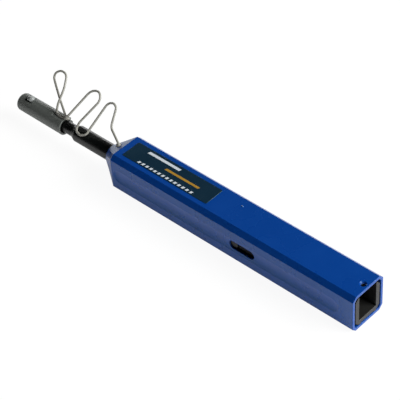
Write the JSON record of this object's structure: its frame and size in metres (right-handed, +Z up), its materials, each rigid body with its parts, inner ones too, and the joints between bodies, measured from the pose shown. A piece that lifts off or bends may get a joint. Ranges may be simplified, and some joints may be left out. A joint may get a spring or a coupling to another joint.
{
  "type": "fibre connector cleaning pen",
  "caption": "Push-type cleaning pen for fibre connector ferrules, with a square sliding sleeve, a round nozzle, and a guide cap on a moulded strap.",
  "frame": {"origin": "centre of the sleeve's lower flat, on the surface that the pen lies on", "axes": "+X along the pen from the nozzle towards the open back, +Z up through the labelled top face"},
  "size_m": [0.19, 0.0214, 0.026],
  "materials": {
    "sleeve_blue": "satin moulded",
    "label_film": "satin film",
    "frame_black": "satin moulded",
    "nozzle_black": "semi-gloss moulded",
    "cap_grey": "matt moulded",
    "insert_grey": "satin moulded",
    "strap_grey": "satin moulded",
    "acetal_natural": "satin moulded",
    "spring_steel": "drawn wire and ground pin",
    "thread_white": "microfibre strand"
  },
  "bodies": {
    "sleeve": {"outer_sleeve": "sleeve_blue", "label": "label_film", "rack_bar": "acetal_natural", "strap": "strap_grey"},
    "core": {"core_frame": "frame_black", "bay_cover": "frame_black", "nozzle_tube": "nozzle_black", "nozzle_clip": "spring_steel", "take_up_axle": "spring_steel", "supply_axle": "spring_steel", "thread_guide_pins": "spring_steel", "backstop_pawl": "acetal_natural", "supply_brake": "acetal_natural", "spring_rod": "spring_steel", "return_spring": "spring_steel", "cleaning_thread": "thread_white"},
    "take_up": {"take_up_reel": "acetal_natural", "take_up_thread": "thread_white"},
    "pinion": {"pinion": "acetal_natural"},
    "supply": {"supply_reel": "acetal_natural", "supply_thread": "thread_white"},
    "cam": {"cam_shaft": "acetal_natural"},
    "head": {"head_shaft": "acetal_natural", "head_spring": "spring_steel"},
    "cap": {"guide_cap": "cap_grey", "cap_insert": "insert_grey"}
  },
  "joints": [
    {"name": "push_stroke", "type": "slide", "parent": "sleeve", "child": "core", "axis": [1, 0, 0], "range_m": [0, 0.009], "stiffness_N_per_m": 300, "springref_m": -0.008, "deforming": ["return_spring", "strap"]},
    {"name": "cap_pull", "type": "slide", "parent": "core", "child": "cap", "axis": [-1, 0, 0], "range_m": [0, 0.02], "deforming": ["strap"]},
    {"name": "pinion_spin", "type": "hinge", "parent": "core", "child": "pinion", "pos_m": [-0.0012, 0, 0.0088], "axis": [0, -1, 0], "range_deg": [0, 172]},
    {"name": "take_up_spin", "type": "hinge", "parent": "core", "child": "take_up", "pos_m": [-0.0012, 0, 0.0088], "axis": [0, -1, 0], "range_deg": [0, 172], "deforming": ["cleaning_thread", "backstop_pawl"]},
    {"name": "supply_spin", "type": "hinge", "parent": "core", "child": "supply", "pos_m": [0.0118, 0, 0.0088], "axis": [0, -1, 0], "range_deg": [0, 145], "deforming": ["cleaning_thread"]},
    {"name": "cam_turn", "type": "hinge", "parent": "core", "child": "cam", "pos_m": [-0.0332, 0, 0.009], "axis": [1, 0, 0], "range_deg": [0, 90], "deforming": ["cleaning_thread"]},
    {"name": "head_float", "type": "slide", "parent": "cam", "child": "head", "axis": [1, 0, 0], "range_m": [0, 0.0012], "stiffness_N_per_m": 300, "springref_m": -0.002, "deforming": ["head_spring", "cleaning_thread"]}
  ],
  "couplings": [
    {"joint": "pinion_spin", "follows": "push_stroke", "rad_per_m": 333.33},
    {"joint": "take_up_spin", "follows": "push_stroke", "rad_per_m": 333.33},
    {"joint": "supply_spin", "follows": "push_stroke", "rad_per_m": 280.7},
    {"joint": "cam_turn", "follows": "push_stroke", "rad_per_m": 174.53}
  ]
}
